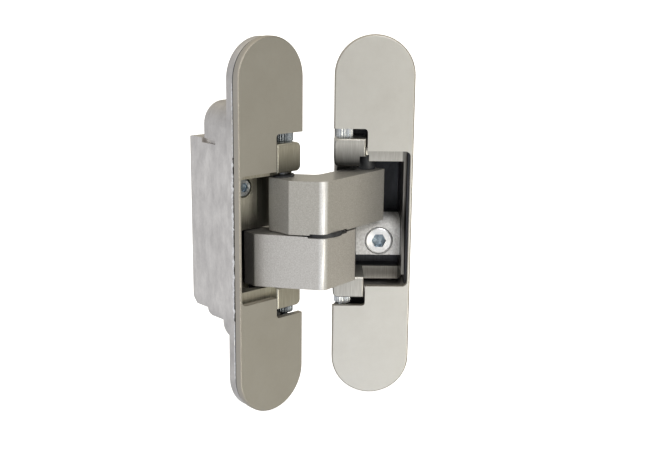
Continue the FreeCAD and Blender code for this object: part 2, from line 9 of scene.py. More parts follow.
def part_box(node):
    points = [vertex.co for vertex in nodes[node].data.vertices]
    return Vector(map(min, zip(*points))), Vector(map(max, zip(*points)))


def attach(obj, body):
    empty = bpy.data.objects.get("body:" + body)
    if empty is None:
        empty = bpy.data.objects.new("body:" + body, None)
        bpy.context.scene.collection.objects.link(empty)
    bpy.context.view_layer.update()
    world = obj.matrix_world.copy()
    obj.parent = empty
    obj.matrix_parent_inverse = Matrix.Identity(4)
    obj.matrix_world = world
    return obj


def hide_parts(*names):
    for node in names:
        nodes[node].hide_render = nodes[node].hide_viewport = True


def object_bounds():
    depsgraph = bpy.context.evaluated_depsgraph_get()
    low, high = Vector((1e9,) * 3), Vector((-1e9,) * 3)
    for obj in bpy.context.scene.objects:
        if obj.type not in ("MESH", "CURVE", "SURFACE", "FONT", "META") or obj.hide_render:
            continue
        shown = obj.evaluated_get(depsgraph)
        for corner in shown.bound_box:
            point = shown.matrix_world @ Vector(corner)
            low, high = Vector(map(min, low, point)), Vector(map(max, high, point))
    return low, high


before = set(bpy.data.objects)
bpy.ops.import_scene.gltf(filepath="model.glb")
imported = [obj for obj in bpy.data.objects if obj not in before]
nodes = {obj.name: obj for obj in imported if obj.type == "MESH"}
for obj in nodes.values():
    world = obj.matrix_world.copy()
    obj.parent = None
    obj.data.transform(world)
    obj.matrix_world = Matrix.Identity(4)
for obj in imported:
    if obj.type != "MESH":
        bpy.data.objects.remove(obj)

cad_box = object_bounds()


# The two cases, let into the edges of door and frame. Zinc die castings, trimmed, tumbled with
# stones and left bare, because wood hides them. Their pockets, notches and seams are painted nearly black, as
# painted shade.

def linear(hex_colour):
    """An sRGB hex colour as linear RGBA for a shader socket."""
    out = []
    for i in (1, 3, 5):
        c = int(hex_colour[i:i + 2], 16) / 255
        out.append(c / 12.92 if c <= 0.04045 else ((c + 0.055) / 1.055) ** 2.4)
    return (*out, 1.0)


def feed(tree, node, links):
    """Links other nodes' outputs to the inputs of a node."""
    for socket, (source, output) in links.items():
        tree.links.new(source.outputs[output], node.inputs[socket])


def add_node(tree, kind, settings, links):
    """Adds one shader node. Settings go to its inputs, to a ramp's stops (place and hex colour), or to
    its attributes where no input has that name."""
    node = tree.nodes.new(kind)
    for key, value in settings.items():
        if key == "stops":
            for stop, (place, colour) in zip(node.color_ramp.elements, value):
                stop.position = place
                stop.color = linear(colour)
        elif isinstance(key, int) or key in node.inputs:
            node.inputs[key].default_value = value
        else:
            setattr(node, key, value)
    feed(tree, node, links)
    return node


def start_material(name, metallic, roughness=0.5):
    """A new material, with its node tree, its shader and a node of coordinates to draw patterns from."""
    material = bpy.data.materials.new(name)
    material.use_nodes = True
    tree = material.node_tree
    shader = tree.nodes["Principled BSDF"]
    shader.inputs["Metallic"].default_value = metallic
    shader.inputs["Roughness"].default_value = roughness
    return material, tree, shader, add_node(tree, "ShaderNodeTexCoord", {}, {})


def dress(names, material):
    """Gives solids their one material."""
    for name in names:
        nodes[name].data.materials.clear()
        nodes[name].data.materials.append(material)


def across(size_mm):
    """Noise scale, per metre, that gives blotches about this many millimetres across."""
    return 1000.0 / size_mm


def break_edges(names, width_mm):
    """Takes the sharpness off a piece's edges, as trimming, blasting and tumbling do."""
    for name in names:
        weld = nodes[name].modifiers.new("join_faces", "WELD")
        weld.merge_threshold = 2e-6
        edge = nodes[name].modifiers.new("broken_edges", "BEVEL")
        edge.width = width_mm / 1000
        edge.segments = 2
        edge.limit_method = "ANGLE"
        edge.angle_limit = math.radians(35)
        edge.harden_normals = True


# Where each leaf's own frame sits: origin in metres, turn about Z, and the way X runs.
LEFT_LEAF = ((0.0, -0.0054, 0.0), 0.0, 1)
RIGHT_LEAF = ((0.0314696, -0.0145728, 0.0), math.radians(-42.0), -1)


def leaf_place(tree, coords, leaf):
    """Position in a leaf's own frame: X along its width, Y down into the wood, Z up."""
    origin, turn, flip = leaf
    mapped = add_node(tree, "ShaderNodeMapping",
                      {"vector_type": "TEXTURE", "Location": origin, "Rotation": (0, 0, turn),
                       "Scale": (flip, 1, 1)}, {"Vector": (coords, "Object")})
    return add_node(tree, "ShaderNodeSeparateXYZ", {}, {"Vector": (mapped, "Vector")})


def boxed(tree, place, limits):
    """1 inside a box in the leaf's frame and 0 outside. Limits are low and high in metres, per axis."""
    tests = [add_node(tree, "ShaderNodeMath",
                      {"operation": "COMPARE", 1: (low + high) / 2, 2: (high - low) / 2}, {0: (place, axis)})
             for axis, (low, high) in zip("XYZ", limits)]
    inside = tests[0]
    for test in tests[1:]:
        inside = add_node(tree, "ShaderNodeMath", {"operation": "MULTIPLY"},
                          {0: (inside, "Value"), 1: (test, "Value")})
    return inside


# Painted shade: the pocket, the height screws' notch, the slit that the cover leaves beside the window,
# and the seam between flange and cover are painted nearly black, where their shade falls.
FRONT = -0.01
SHADED_HOLLOWS = (((-0.0106, 0.0106), (FRONT, 0.02385), (-0.0212, 0.0218)),
           ((0.0017, 0.0200), (FRONT, 0.0103), (-0.0292, 0.0298)),
           ((-0.0200, 0.0200), (FRONT, 0.0029), (-0.0254, 0.0220)),
           ((-0.0200, 0.0200), (FRONT, 0.00260), (-0.0600, 0.0600)))
# The nearly black tones of that painted shade, also used deep in the carriages.
PAINTED_SHADE_SKIN = ((0.3, "#484A4F"), (0.7, "#595B60"))
# Above and below the box the whole tone is painted down to this share: painted shade on the case's ends.
SHADED_ENDS = (0.0220, 0.0320)
SHADED_ENDS_SHARE = 0.83


def bare_zinc(name, leaf):
    """Bare tumbled zinc: cool grey, with upright clouds 3 mm wide where the melt ran up the mould, and a
    dull grain of about 0.4 mm from the stones. Inside the pocket, the notch, the slit and the seam the tone
    is painted nearly black, as painted shade, and above and below the box it is painted a little darker, also
    as shade."""
    material, tree, shader, coords = start_material(name, 0.9)
    upright = add_node(tree, "ShaderNodeMapping", {"Scale": (1, 1, 0.5)}, {"Vector": (coords, "Object")})
    cloud = add_node(tree, "ShaderNodeTexNoise", {"Scale": across(3.0), "Detail": 6.0, "Roughness": 0.7},
                     {"Vector": (upright, "Vector")})
    grain = add_node(tree, "ShaderNodeTexNoise", {"Scale": across(0.4), "Detail": 3.0, "Roughness": 0.7},
                     {"Vector": (coords, "Object")})
    place = leaf_place(tree, coords, leaf)
    # Painted shade: 1 in the pocket, notch, slit and seam, which are painted nearly black.
    shaded_hollow = boxed(tree, place, SHADED_HOLLOWS[0])
    for limits in SHADED_HOLLOWS[1:]:
        shaded_hollow = add_node(tree, "ShaderNodeMath", {"operation": "MAXIMUM"},
                          {0: (shaded_hollow, "Value"), 1: (boxed(tree, place, limits), "Value")})
    tumbled = add_node(tree, "ShaderNodeValToRGB", {"stops": ((0.3, "#C8C5C3"), (0.7, "#E7E4E1"))},
                       {"Fac": (cloud, "Fac")})
    # The painted shade's nearly black tone.
    dark = add_node(tree, "ShaderNodeValToRGB", {"stops": PAINTED_SHADE_SKIN}, {"Fac": (cloud, "Fac")})
    both = add_node(tree, "ShaderNodeMix", {"data_type": "RGBA"},
                    {"Factor": (shaded_hollow, "Value"), 6: (tumbled, "Color"), 7: (dark, "Color")})
    # Painted shade: darker above and below the box.
    height = add_node(tree, "ShaderNodeMath", {"operation": "ABSOLUTE"}, {0: (place, "Z")})
    share = add_node(tree, "ShaderNodeMapRange",
                     {"From Min": SHADED_ENDS[0], "From Max": SHADED_ENDS[1],
                      "To Min": 1.0, "To Max": SHADED_ENDS_SHARE}, {"Value": (height, "Value")})
    tone = add_node(tree, "ShaderNodeVectorMath", {"operation": "SCALE"},
                    {0: (both, 2), "Scale": (share, "Result")})
    gloss = add_node(tree, "ShaderNodeMapRange", {"To Min": 0.4, "To Max": 0.6}, {"Value": (grain, "Fac")})
    bump = add_node(tree, "ShaderNodeBump", {"Strength": 0.3, "Distance": 0.0001},
                    {"Height": (grain, "Fac")})
    feed(tree, shader, {"Base Color": (tone, "Vector"), "Roughness": (gloss, "Result"),
                        "Normal": (bump, "Normal")})
    return material


dress(["left_case"], bare_zinc("bare_zinc_left_case", LEFT_LEAF))
dress(["right_case"], bare_zinc("bare_zinc_right_case", RIGHT_LEAF))
break_edges(["left_case", "right_case"], width_mm=0.15)


# The two cover plates, pressed over the flanges to hide the fixing screws. Zinc die castings,
# blasted with fine glass beads and sprayed with a satin nickel lacquer.

# Below this depth, on the sides and the edge bevels, the lacquer is rougher and its tone is painted darker: a
# painted shade that dims their highlights.
COVER_SIDE_SHADE_AND_DULL = (0.000005, 0.00003)
SIDE_ROUGHNESS = 0.62


def satin_zinc(name, leaf):
    """Satin lacquered zinc: a warm pale grey with a broad soft sheen. The sides and edge bevels are painted
    darker, a painted shade that dims their highlights. The blasting leaves an even grit of 0.15 mm,
    drawn at 0.3 mm so that it shows."""
    material, tree, shader, coords = start_material(name, 0.95)
    grit = add_node(tree, "ShaderNodeTexNoise", {"Scale": across(0.3), "Detail": 2.0, "Roughness": 0.6},
                    {"Vector": (coords, "Object")})
    drift = add_node(tree, "ShaderNodeTexNoise", {"Scale": across(14.0), "Detail": 8.0, "Roughness": 0.75},
                     {"Vector": (coords, "Object")})
    front = add_node(tree, "ShaderNodeValToRGB", {"stops": ((0.3, "#D2D0C9"), (0.7, "#DBDAD4"))},
                     {"Fac": (drift, "Fac")})
    # Painted shade: the darker tone of the sides and edge bevels.
    edge = add_node(tree, "ShaderNodeValToRGB", {"stops": ((0.3, "#B3AEA4"), (0.7, "#BBB6AD"))},
                    {"Fac": (drift, "Fac")})
    place = leaf_place(tree, coords, leaf)
    deep = add_node(tree, "ShaderNodeMapRange", {"From Min": COVER_SIDE_SHADE_AND_DULL[0], "From Max": COVER_SIDE_SHADE_AND_DULL[1]},
                    {"Value": (place, "Y")})
    tone = add_node(tree, "ShaderNodeMix", {"data_type": "RGBA"},
                    {"Factor": (deep, "Result"), 6: (front, "Color"), 7: (edge, "Color")})
    gloss = add_node(tree, "ShaderNodeMapRange", {"To Min": 0.28, "To Max": 0.4}, {"Value": (grit, "Fac")})
    dull = add_node(tree, "ShaderNodeMix", {3: SIDE_ROUGHNESS}, {0: (deep, "Result"), 2: (gloss, "Result")})
    bump = add_node(tree, "ShaderNodeBump", {"Strength": 0.5, "Distance": 0.00005},
                    {"Height": (grit, "Fac")})
    feed(tree, shader, {"Base Color": (tone, 2), "Roughness": (dull, 0), "Normal": (bump, "Normal")})
    return material


dress(["left_cover"], satin_zinc("satin_zinc_left_cover", LEFT_LEAF))
dress(["right_cover"], satin_zinc("satin_zinc_right_cover", RIGHT_LEAF))
break_edges(["left_cover", "right_cover"], width_mm=0.1)


# The two carriages, which slide in the cases and carry the arms' pivots. Zinc die castings in the
# same lacquer, linished upright on the knuckle blocks so that they pass the covers.

# Deeper than about 14 mm into the case the tone is painted nearly black, as painted shade.
DEEP_SHADE_DEPTH = (0.0135, 0.0150)
# The upper block, which begins at this X, is painted darker towards the arm below it: painted shade from the
# arm.
BLOCK_SIDE = 0.002
BLOCK_SHADE = (0.0172, 0.0232)
# Painted shade also darkens the floor, to this share of its tone, up to these distances from where the arms
# meet.
ARM_LEVEL = -0.0012
FLOOR_SHADE = (0.0015, 0.0085)
FLOOR_SHADE_SHARE = 0.25
# The rail in front of the clamp block is painted darker, as painted shade.
SHADED_RAIL_SIDE = (-0.0091, -0.0088)
RAIL_SHADE_SHARE = 0.4


def linished_zinc(name, leaf, dark, light, shaded_share):
    """Linished lacquered zinc: the covers' warm grey with upright scratches 0.25 mm apart, a little darker
    because lacquer and grease stay in them. Deep in the case it is painted nearly black, as painted shade,
    and painted shade also darkens the floor near the arms, the upper block towards the arm and the rail. The
    shaded share is what is left of the tone at the foot of the upper block."""
    material, tree, shader, coords = start_material(name, 0.9, 0.33)
    stretch = add_node(tree, "ShaderNodeMapping", {"Scale": (1, 1, 0.05)}, {"Vector": (coords, "Object")})
    scratch = add_node(tree, "ShaderNodeTexNoise", {"Scale": across(0.25), "Detail": 2.0, "Roughness": 0.6},
                       {"Vector": (stretch, "Vector")})
    lacquer = add_node(tree, "ShaderNodeValToRGB", {"stops": ((0.3, dark), (0.7, light))},
                       {"Fac": (scratch, "Fac")})
    place = leaf_place(tree, coords, leaf)
    # Painted shade: the floor darker near the arms, and the upper block darker towards the arm.
    height = add_node(tree, "ShaderNodeMath", {"operation": "SUBTRACT", 1: ARM_LEVEL}, {0: (place, "Z")})
    apart = add_node(tree, "ShaderNodeMath", {"operation": "ABSOLUTE"}, {0: (height, "Value")})
    floor_shading = add_node(tree, "ShaderNodeMapRange",
                           {"From Min": FLOOR_SHADE[0], "From Max": FLOOR_SHADE[1], "To Min": FLOOR_SHADE_SHARE},
                           {"Value": (apart, "Value")})
    block_shading = add_node(tree, "ShaderNodeMapRange",
                           {"From Min": BLOCK_SHADE[0], "From Max": BLOCK_SHADE[1],
                            "To Min": shaded_share}, {"Value": (place, "Z")})
    low_block = add_node(tree, "ShaderNodeMath", {"operation": "LESS_THAN", 1: ARM_LEVEL}, {0: (place, "Z")})
    block_unshaded = add_node(tree, "ShaderNodeMath", {"operation": "MAXIMUM"},
                           {0: (block_shading, "Result"), 1: (low_block, "Value")})
    on_block = add_node(tree, "ShaderNodeMath", {"operation": "GREATER_THAN", 1: BLOCK_SIDE},
                        {0: (place, "X")})
    unshaded = add_node(tree, "ShaderNodeMix", {},
                     {0: (on_block, "Value"), 2: (floor_shading, "Result"), 3: (block_unshaded, "Value")})
    # Painted shade on the rail.
    rail_shading = add_node(tree, "ShaderNodeMapRange",
                        {"From Min": SHADED_RAIL_SIDE[0], "From Max": SHADED_RAIL_SIDE[1], "To Min": RAIL_SHADE_SHARE},
                        {"Value": (place, "X")})
    share = add_node(tree, "ShaderNodeMath", {"operation": "MULTIPLY"},
                     {0: (unshaded, 0), 1: (rail_shading, "Result")})
    film = add_node(tree, "ShaderNodeVectorMath", {"operation": "SCALE"},
                    {0: (lacquer, "Color"), "Scale": (share, "Value")})
    # Painted shade: nearly black deep in the case.
    deep = add_node(tree, "ShaderNodeMapRange", {"From Min": DEEP_SHADE_DEPTH[0], "From Max": DEEP_SHADE_DEPTH[1]},
                    {"Value": (place, "Y")})
    deep_shade_skin = add_node(tree, "ShaderNodeValToRGB", {"stops": PAINTED_SHADE_SKIN}, {"Fac": (scratch, "Fac")})
    tone = add_node(tree, "ShaderNodeMix", {"data_type": "RGBA"},
                    {"Factor": (deep, "Result"), 6: (film, "Vector"), 7: (deep_shade_skin, "Color")})
    bump = add_node(tree, "ShaderNodeBump", {"Strength": 0.2, "Distance": 0.00004},
                    {"Height": (scratch, "Fac")})
    feed(tree, shader, {"Base Color": (tone, 2), "Normal": (bump, "Normal")})
    return material


dress(["left_carriage"],
      linished_zinc("linished_zinc_left_carriage", LEFT_LEAF, "#C0BDAF", "#D8D6CA", shaded_share=0.3))
dress(["right_carriage"],
      linished_zinc("linished_zinc_right_carriage", RIGHT_LEAF, "#B4B2AC", "#CDCCC7", shaded_share=0.05))
break_edges(["left_carriage", "right_carriage"], width_mm=0.18)


# The clamp block on the right carriage, which its screw draws tight once the side is adjusted. A small
# zinc die casting, left as it came from the mould.

# As-cast zinc: a pale matt grey with a sandy grain of about 0.7 mm, in tone and in relief.
as_cast, tree, shader, coords = start_material("as_cast_zinc", 0.15, 0.6)
grain = add_node(tree, "ShaderNodeTexNoise", {"Scale": across(0.7), "Detail": 4.0, "Roughness": 0.7},
                 {"Vector": (coords, "Object")})
tone = add_node(tree, "ShaderNodeValToRGB", {"stops": ((0.3, "#CFCFCE"), (0.7, "#FFFFFF"))},
                {"Fac": (grain, "Fac")})
bump = add_node(tree, "ShaderNodeBump", {"Strength": 0.8, "Distance": 0.00015}, {"Height": (grain, "Fac")})
feed(tree, shader, {"Base Color": (tone, "Color"), "Normal": (bump, "Normal")})
dress(["right_clamp_block"], as_cast)
break_edges(["right_clamp_block"], width_mm=0.4)


# The two folding arms: thick zinc castings, crossed on the centre pin. They get a sprayed metallic
# lacquer, because they show whenever the door stands open.

# A painted highlight: along the front corner the film's tone is painted near white.
HIGHLIGHT_CORNER_LINE = (0.0096, -0.0172, 0.0)
PAINTED_HIGHLIGHT_SPAN = (0.0008, 0.0018)
# The film is painted darker, as painted shade, where an arm goes this deep into the left case.
ARM_SHADE_DEPTH = (0.0026, 0.0056)
ARM_SHADE_SHARE = 0.6


def metallic_lacquer(name, metallic, dark, light):
    """Metallic lacquer: silver flakes of about 0.1 mm in a warm grey film, drawn at 0.3 mm so that their
    sparkle shows, under a thin clear gloss. A painted highlight runs along the front corner, and painted
    shade darkens what goes deep into the left case."""
    material, tree, shader, coords = start_material(name, metallic, 0.4)
    flake = add_node(tree, "ShaderNodeTexNoise", {"Scale": across(0.3), "Detail": 1.0},
                     {"Vector": (coords, "Object")})
    film = add_node(tree, "ShaderNodeValToRGB", {"stops": ((0.35, dark), (0.7, light))},
                    {"Fac": (flake, "Fac")})
    # The painted highlight's near-white tone.
    bright = add_node(tree, "ShaderNodeValToRGB", {"stops": ((0.35, "#F0F0EE"), (0.7, "#FFFFFF"))},
                      {"Fac": (flake, "Fac")})
    place = add_node(tree, "ShaderNodeSeparateXYZ", {}, {"Vector": (coords, "Object")})
    flat = add_node(tree, "ShaderNodeCombineXYZ", {}, {"X": (place, "X"), "Y": (place, "Y")})
    away = add_node(tree, "ShaderNodeVectorMath", {"operation": "DISTANCE", 1: HIGHLIGHT_CORNER_LINE},
                    {0: (flat, "Vector")})
    off_highlight = add_node(tree, "ShaderNodeMapRange", {"From Min": PAINTED_HIGHLIGHT_SPAN[0], "From Max": PAINTED_HIGHLIGHT_SPAN[1]},
                       {"Value": (away, "Value")})
    both = add_node(tree, "ShaderNodeMix", {"data_type": "RGBA"},
                    {"Factor": (off_highlight, "Result"), 6: (bright, "Color"), 7: (film, "Color")})
    # Painted shade: darker deep in the left case.
    depth = leaf_place(tree, coords, LEFT_LEAF)
    share = add_node(tree, "ShaderNodeMapRange",
                     {"From Min": ARM_SHADE_DEPTH[0], "From Max": ARM_SHADE_DEPTH[1],
                      "To Min": 1.0, "To Max": ARM_SHADE_SHARE}, {"Value": (depth, "Y")})
    tone = add_node(tree, "ShaderNodeVectorMath", {"operation": "SCALE"},
                    {0: (both, 2), "Scale": (share, "Result")})
    bump = add_node(tree, "ShaderNodeBump", {"Strength": 0.2, "Distance": 0.00005},
                    {"Height": (flake, "Fac")})
    feed(tree, shader, {"Base Color": (tone, "Vector"), "Normal": (bump, "Normal")})
    shader.inputs["Coat Weight"].default_value = 0.8
    shader.inputs["Coat Roughness"].default_value = 0.18
    return material


# The lower arm's film is painted lighter than the upper arm's: painted light that stands in for light from
# below.
dress(["upper_arm"], metallic_lacquer("metallic_lacquer_upper_arm", 0.36, "#AEABA4", "#C2C0BA"))
dress(["lower_arm"], metallic_lacquer("metallic_lacquer_lower_arm", 0.68, "#C8C5C0", "#DDDBD7"))
break_edges(["upper_arm", "lower_arm"], width_mm=0.3)


# The pins of the linkage: two pivots, the centre pin and two slide pins. Ground steel, bare and lightly
# oiled, pressed into the carriages and the arms.

# Ground steel: a dark cool grey under its oil, with fine rings round the pin from the grinding wheel,
# 0.2 mm apart and drawn at 1.25 mm so that they show. A wave texture runs 20 radians per unit of scale.
RINGS_PER_SCALE = 10 / math.pi
ground, tree, shader, coords = start_material("ground_steel", 1.0, 0.28)
rings = add_node(tree, "ShaderNodeTexWave",
                 {"bands_direction": "Z", "Scale": across(1.25) / RINGS_PER_SCALE, "Distortion": 1.0},
                 {"Vector": (coords, "Object")})
tone = add_node(tree, "ShaderNodeValToRGB", {"stops": ((0.1, "#5A5C60"), (0.9, "#74777B"))},
                {"Fac": (rings, "Fac")})
feed(tree, shader, {"Base Color": (tone, "Color")})
dress(["left_pivot_pin", "right_pivot_pin", "centre_pin", "upper_slide_pin", "lower_slide_pin"], ground)


# Bushes, washers and slide rollers, which keep metal from running on metal. Moulded acetal, pressed
# into the arms or slipped on the pins.

# Dark acetal: matt charcoal with a faint cloudiness, about 1.5 mm wide, from the mould.
acetal, tree, shader, coords = start_material("moulded_acetal", 0.0, 0.45)
cloud = add_node(tree, "ShaderNodeTexNoise", {"Scale": across(1.5), "Detail": 2.0},
                 {"Vector": (coords, "Object")})
tone = add_node(tree, "ShaderNodeValToRGB", {"stops": ((0.3, "#2A2C2F"), (0.7, "#393B3F"))},
                {"Fac": (cloud, "Fac")})
feed(tree, shader, {"Base Color": (tone, "Color")})
shader.inputs["IOR"].default_value = 1.48
dress(["upper_pivot_bush", "lower_pivot_bush", "centre_bush", "centre_washer", "left_thrust_washer",
       "right_thrust_washer", "upper_slide_roller", "lower_slide_roller"], acetal)


# The clamp screw on the right and the adjusting screw on the left: headed steel with a hexagon socket,
# zinc plated, screwed into the carriages.
CLAMP_AXIS = (-0.0027, 0.0, -0.0086)
CLAMP_FACE = 0.0095
ADJUST_AXIS = (-0.0030, 0.0, 0.0116)
ADJUST_FACE = 0.0089
SOCKET_R = 0.00235
# How far behind the head's face the socket is painted dark, as painted shade.
SOCKET_SHADE_DEPTH = (0.0002, 0.0005)


def plated_steel(name, leaf, axis, face, dark, light):
    """Bright zinc plate: a bluish white metal with turned rings 0.4 mm apart on the head. The socket is
    painted a dark blue grey, as painted shade."""
    material, tree, shader, coords = start_material(name, 1.0, 0.32)
    patch = add_node(tree, "ShaderNodeTexNoise", {"Scale": across(0.8), "Detail": 3.0},
                     {"Vector": (coords, "Object")})
    plate = add_node(tree, "ShaderNodeValToRGB", {"stops": ((0.3, dark), (0.7, light))},
                     {"Fac": (patch, "Fac")})
    # Painted shade inside the socket.
    socket_shade_grey = add_node(tree, "ShaderNodeValToRGB", {"stops": ((0.3, "#64727E"), (0.7, "#AEBCC7"))},
                    {"Fac": (patch, "Fac")})
    place = leaf_place(tree, coords, leaf)
    flat = add_node(tree, "ShaderNodeCombineXYZ", {}, {"X": (place, "X"), "Z": (place, "Z")})
    radius = add_node(tree, "ShaderNodeVectorMath", {"operation": "DISTANCE", 1: axis}, {0: (flat, "Vector")})
    near = add_node(tree, "ShaderNodeMath", {"operation": "LESS_THAN", 1: SOCKET_R}, {0: (radius, "Value")})
    deep = add_node(tree, "ShaderNodeMapRange",
                    {"From Min": face + SOCKET_SHADE_DEPTH[0], "From Max": face + SOCKET_SHADE_DEPTH[1]},
                    {"Value": (place, "Y")})
    socket = add_node(tree, "ShaderNodeMath", {"operation": "MULTIPLY"},
                      {0: (near, "Value"), 1: (deep, "Result")})
    tone = add_node(tree, "ShaderNodeMix", {"data_type": "RGBA"},
                    {"Factor": (socket, "Value"), 6: (plate, "Color"), 7: (socket_shade_grey, "Color")})
    wave = add_node(tree, "ShaderNodeMath", {"operation": "MULTIPLY", 1: 2 * math.pi * across(0.4)},
                    {0: (radius, "Value")})
    ridge = add_node(tree, "ShaderNodeMath", {"operation": "SINE"}, {0: (wave, "Value")})
    bump = add_node(tree, "ShaderNodeBump", {"Strength": 0.4, "Distance": 0.00005},
                    {"Height": (ridge, "Value")})
    feed(tree, shader, {"Base Color": (tone, 2), "Normal": (bump, "Normal")})
    return material


dress(["right_clamp_screw"],
      plated_steel("bright_zinc_plate", RIGHT_LEAF, CLAMP_AXIS, CLAMP_FACE, "#F3F5F7", "#FFFFFF"))
dress(["left_adjusting_screw"],
      plated_steel("dull_zinc_plate", LEFT_LEAF, ADJUST_AXIS, ADJUST_FACE, "#8E969C", "#D9DEE2"))
break_edges(["left_adjusting_screw", "right_clamp_screw"], width_mm=0.12)


# Height screws at the ends of each carriage: a threaded shank that runs in the case, and a collar
# with fine upright teeth that shows in the cover's notch. Turned steel, zinc plated.
COLLAR_R = 0.0027
COLLAR_RIM = 0.0002
# Height of each collar's end on the knuckle block, and of its end in the notch.
COLLAR_ENDS = {"upper": (0.0247, 0.02755), "lower": (-0.0242, -0.02675)}
TEETH = 22
TOOTH_DEPTH = 0.0002
SHANK_R = 0.0012
# What is left of the radius at the collar's rims, at the thread's tip and at the plain root.
RIM_SHARE = 0.94
TIP_SHARE = 0.8
ROOT_SHARE = 0.95
THREAD_PITCH = 0.0005
THREAD_DEPTH = 0.00025
RINGS_PER_PITCH = 8
AROUND = 176

# Plated teeth: bluish white metal with a faint unevenness of about 0.5 mm where the bath ran off them.
# The left pair is darker and a little rougher than the right pair.
TEETH_FINISH = {"left": ("dull_plated_teeth", 0.42, "#7E868F", "#A9B1B9"),
                "right": ("bright_plated_teeth", 0.3, "#C8D0D8", "#F6F9FB")}
plated_teeth = {}
for side, (name, roughness, dark, light) in TEETH_FINISH.items():
    plated_teeth[side], tree, shader, coords = start_material(name, 1.0, roughness)
    patch = add_node(tree, "ShaderNodeTexNoise", {"Scale": across(0.5), "Detail": 3.0},
                     {"Vector": (coords, "Object")})
    tone = add_node(tree, "ShaderNodeValToRGB", {"stops": ((0.3, dark), (0.7, light))},
                    {"Fac": (patch, "Fac")})
    feed(tree, shader, {"Base Color": (tone, "Color")})


def skin_rings(mesh, rings):
    """Faces between each ring of points and the next, with a cap on either end."""
    for lower, upper in zip(rings, rings[1:]):
        for i in range(len(lower)):
            j = (i + 1) % len(lower)
            mesh.faces.new((lower[i], lower[j], upper[j], upper[i]))
    mesh.faces.new(rings[0])
    mesh.faces.new(rings[-1])


def add_piece(name, mesh, material):
    """Makes a finished mesh a piece of the scene, with its faces turned outward."""
    bmesh.ops.recalc_face_normals(mesh, faces=mesh.faces)
    data = bpy.data.meshes.new(name)
    mesh.to_mesh(data)
    mesh.free()
    data.materials.append(material)
    piece = bpy.data.objects.new(name, data)
    bpy.context.scene.collection.objects.link(piece)
    return piece


def height_screw(name, body, finish, axis, block_end, notch_end, tip, root):
    """One height screw along Z through axis, from the case end (tip) to the end in the block (root)."""
    up = 1 if tip > root else -1
    rim = COLLAR_RIM * up
    steps = int(abs(tip - notch_end) / THREAD_PITCH * RINGS_PER_PITCH)
    profile = [(tip, "thread", TIP_SHARE)]
    for i in range(steps + 1):
        profile.append((tip + (notch_end - tip) * i / steps, "thread", 1.0))
    profile += [(notch_end, "collar", RIM_SHARE), (notch_end - rim, "collar", 1.0),
                (block_end + rim, "collar", 1.0), (block_end, "collar", RIM_SHARE),
                (block_end, "plain", ROOT_SHARE), (root, "plain", ROOT_SHARE)]
    mesh = bmesh.new()
    rings = []
    for z, kind, share in profile:
        ring = []
        for i in range(AROUND):
            a = 2 * math.pi * i / AROUND
            if kind == "thread":
                turn = (z / THREAD_PITCH + up * a / (2 * math.pi)) % 1.0
                r = (SHANK_R - THREAD_DEPTH * abs(2 * turn - 1)) * share
            elif kind == "collar":
                r = (COLLAR_R - TOOTH_DEPTH * (0.5 + 0.5 * math.cos(TEETH * a))) * share
            else:
                r = SHANK_R * share
            ring.append(mesh.verts.new((axis[0] + r * math.cos(a), axis[1] + r * math.sin(a), z)))
        rings.append(ring)
    skin_rings(mesh, rings)
    piece = add_piece(name + "_threaded", mesh, finish)
    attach(piece, body)
    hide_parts(name)


for side in ("left", "right"):
    for end in ("upper", "lower"):
        name = side + "_" + end + "_height_screw"
        low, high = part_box(name)
        axis = ((low.x + high.x) / 2, (low.y + high.y) / 2)
        tip, root = (high.z, low.z) if end == "upper" else (low.z, high.z)
        height_screw(name, side + "_carriage", plated_teeth[side], axis, *COLLAR_ENDS[end], tip, root)


# Casting flash: the torn rim of metal left where the mould halves met, along the outer front edge of
# each case's flange. Zinc of the case itself, broken by the trimming die and left bare.

# Trimmed zinc: bright torn metal, pitted about every 0.5 mm.
torn, tree, shader, coords = start_material("trimmed_zinc_flash", 1.0, 0.35)
tear = add_node(tree, "ShaderNodeTexNoise", {"Scale": across(0.5), "Detail": 3.0},
                {"Vector": (coords, "Object")})
tone = add_node(tree, "ShaderNodeValToRGB", {"stops": ((0.3, "#D8D6D4"), (0.7, "#FFFFFF"))},
                {"Fac": (tear, "Fac")})
bump = add_node(tree, "ShaderNodeBump", {"Strength": 0.6, "Distance": 0.00015}, {"Height": (tear, "Fac")})
feed(tree, shader, {"Base Color": (tone, "Color"), "Normal": (bump, "Normal")})
FLASH_EDGE_X = -0.0116
FLASH_STEP = 0.0007
FLASH_SEED = 7
# How far the strip's back and its front corner lie inside the flange's edge.
FLASH_ROOT = 0.00014
FLASH_CORNER = 0.00004
# How far it stands out and reaches back, each as the least and the spread, and its longest lip.
FLASH_OUT = (0.00006, 0.00013)
FLASH_BACK = (0.0004, 0.0005)
FLASH_LIP = 0.0004
# Each run of flash: its bottom and top, the depth of the edge it stands on, and how large it is.
FLASH_RUNS = ((-0.0245, 0.0215, 0.0028, 1.0),
              (-0.0430, -0.0258, 0.0027, 0.5),
              (0.0224, 0.0430, 0.0027, 0.5))


